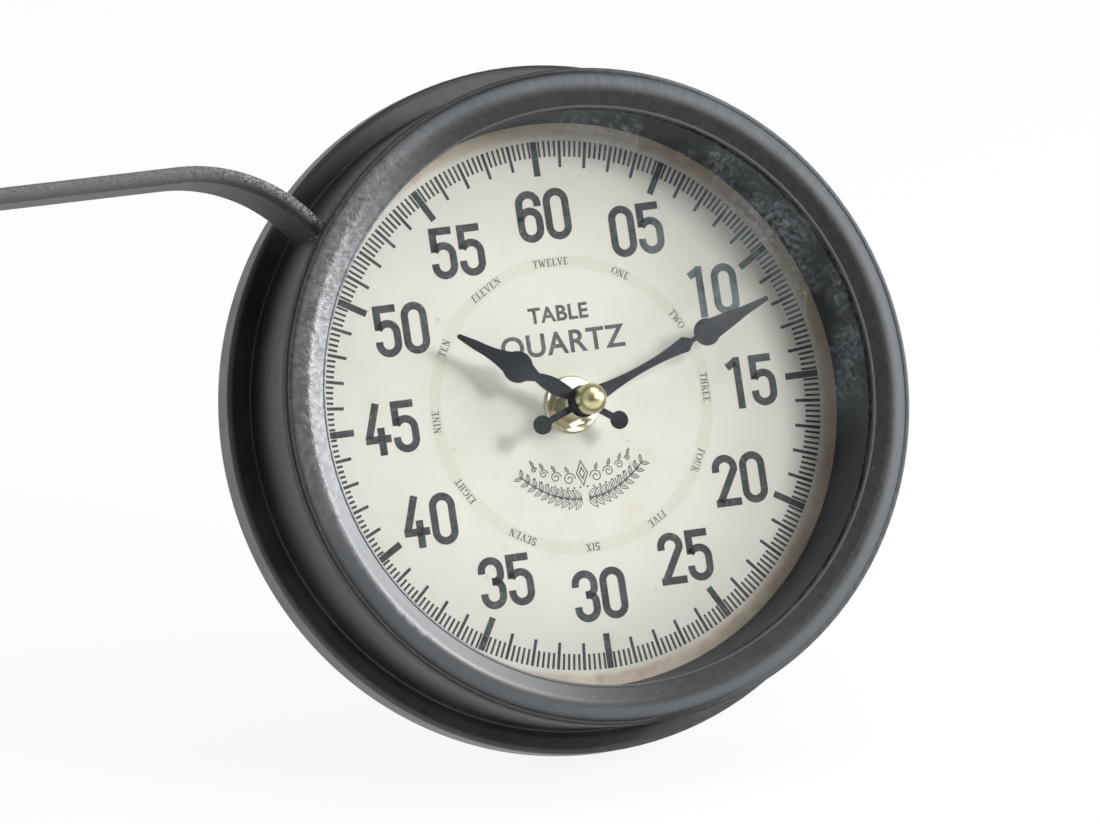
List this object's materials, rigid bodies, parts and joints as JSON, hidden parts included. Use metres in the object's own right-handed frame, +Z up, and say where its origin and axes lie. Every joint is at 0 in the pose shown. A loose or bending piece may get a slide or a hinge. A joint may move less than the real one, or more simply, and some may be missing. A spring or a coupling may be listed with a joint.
{
  "type": "double table clock",
  "caption": "Round steel clock heads side by side, joined by an arched flat bar and leaning back on bent bar feet, with glazed dials, spade hands and quartz movements.",
  "frame": {"origin": "on the table, midway between the heads and midway front to back", "axes": "+Z up, +X to the viewer's right along the pair of heads, dials facing -Y and leaning back"},
  "size_m": [0.433, 0.1132, 0.1771],
  "materials": {
    "drum_paint": "satin black powder coat",
    "bezel_paint": "hammered satin black powder coat",
    "inner_wall_paint": "dark satin paint",
    "clear_glass": "clear, slightly dusty",
    "dial_paper": "aged ivory print",
    "hardboard": "raw hardboard",
    "polished_brass": "polished",
    "zinc_steel": "zinc plated",
    "black_plastic": "moulded",
    "wheel_plastic": "moulded",
    "hand_paint": "satin black",
    "black_rubber": "matte",
    "board_resin": "solder mask",
    "copper_wire": "lacquered copper",
    "cell_wrap": "printed sleeve without lettering"
  },
  "bodies": {
    "frame": {"bridge": "bezel_paint", "left_case": "drum_paint", "left_bezel": "bezel_paint", "left_glass": "clear_glass", "left_spacer_ring": "inner_wall_paint", "left_dial_card": "dial_paper", "left_dial_plate": "hardboard", "left_dial_seat": "drum_paint", "left_back_cover": "drum_paint", "left_cover_screws": "zinc_steel", "left_movement_housing": "black_plastic", "left_movement_cover": "black_plastic", "left_gasket": "black_rubber", "left_center_bushing": "polished_brass", "left_dial_washer": "polished_brass", "left_fixing_nut": "polished_brass", "left_battery_contacts": "zinc_steel", "left_circuit_board": "board_resin", "left_drive_coil": "copper_wire", "left_foot": "drum_paint", "left_foot_screws": "zinc_steel", "left_foot_nuts": "zinc_steel", "right_case": "drum_paint", "right_bezel": "bezel_paint", "right_glass": "clear_glass", "right_spacer_ring": "inner_wall_paint", "right_dial_card": "dial_paper", "right_dial_plate": "hardboard", "right_dial_seat": "drum_paint", "right_back_cover": "drum_paint", "right_cover_screws": "zinc_steel", "right_movement_housing": "black_plastic", "right_movement_cover": "black_plastic", "right_gasket": "black_rubber", "right_center_bushing": "polished_brass", "right_dial_washer": "polished_brass", "right_fixing_nut": "polished_brass", "right_battery_contacts": "zinc_steel", "right_circuit_board": "board_resin", "right_drive_coil": "copper_wire", "right_foot": "drum_paint", "right_foot_screws": "zinc_steel", "right_foot_nuts": "zinc_steel"},
    "left_minute": {"left_minute_arbor": "polished_brass", "left_minute_hand": "hand_paint", "left_cap_nut": "polished_brass"},
    "left_hour": {"left_hour_wheel": "wheel_plastic", "left_hour_hand": "hand_paint"},
    "left_motion": {"left_motion_wheel": "wheel_plastic"},
    "left_knob": {"left_setting_knob": "wheel_plastic"},
    "left_cell": {"left_battery": "cell_wrap"},
    "right_minute": {"right_minute_arbor": "polished_brass", "right_minute_hand": "hand_paint", "right_cap_nut": "polished_brass"},
    "right_hour": {"right_hour_wheel": "wheel_plastic", "right_hour_hand": "hand_paint"},
    "right_motion": {"right_motion_wheel": "wheel_plastic"},
    "right_knob": {"right_setting_knob": "wheel_plastic"},
    "right_cell": {"right_battery": "cell_wrap"}
  },
  "joints": [
    {"name": "left_minute_turn", "type": "hinge", "parent": "frame", "child": "left_minute", "pos_m": [-0.126, 0, 0.08993], "axis": [0, 0.911, -0.4123], "continuous": true},
    {"name": "left_hour_turn", "type": "hinge", "parent": "frame", "child": "left_hour", "pos_m": [-0.126, 0, 0.08993], "axis": [0, 0.911, -0.4123], "continuous": true},
    {"name": "left_motion_turn", "type": "hinge", "parent": "frame", "child": "left_motion", "pos_m": [-0.126, 0.00247, 0.0954], "axis": [0, 0.911, -0.4123], "continuous": true},
    {"name": "left_knob_turn", "type": "hinge", "parent": "frame", "child": "left_knob", "pos_m": [-0.1208, 0.00371, 0.09813], "axis": [0, 0.911, -0.4123], "continuous": true},
    {"name": "left_cell_lift", "type": "slide", "parent": "frame", "child": "left_cell", "axis": [0, 0.911, -0.4123], "range_m": [0, 0.03]},
    {"name": "right_minute_turn", "type": "hinge", "parent": "frame", "child": "right_minute", "pos_m": [0.126, 0, 0.08993], "axis": [0, 0.911, -0.4123], "continuous": true},
    {"name": "right_hour_turn", "type": "hinge", "parent": "frame", "child": "right_hour", "pos_m": [0.126, 0, 0.08993], "axis": [0, 0.911, -0.4123], "continuous": true},
    {"name": "right_motion_turn", "type": "hinge", "parent": "frame", "child": "right_motion", "pos_m": [0.126, 0.00247, 0.0954], "axis": [0, 0.911, -0.4123], "continuous": true},
    {"name": "right_knob_turn", "type": "hinge", "parent": "frame", "child": "right_knob", "pos_m": [0.1312, 0.00371, 0.09813], "axis": [0, 0.911, -0.4123], "continuous": true},
    {"name": "right_cell_lift", "type": "slide", "parent": "frame", "child": "right_cell", "axis": [0, 0.911, -0.4123], "range_m": [0, 0.03]}
  ],
  "couplings": [
    {"joint": "left_hour_turn", "follows": "left_minute_turn", "ratio": 0.083333},
    {"joint": "left_motion_turn", "follows": "left_minute_turn", "ratio": -0.33333},
    {"joint": "left_knob_turn", "follows": "left_minute_turn", "ratio": 1},
    {"joint": "right_hour_turn", "follows": "right_minute_turn", "ratio": 0.083333},
    {"joint": "right_motion_turn", "follows": "right_minute_turn", "ratio": -0.33333},
    {"joint": "right_knob_turn", "follows": "right_minute_turn", "ratio": 1}
  ]
}
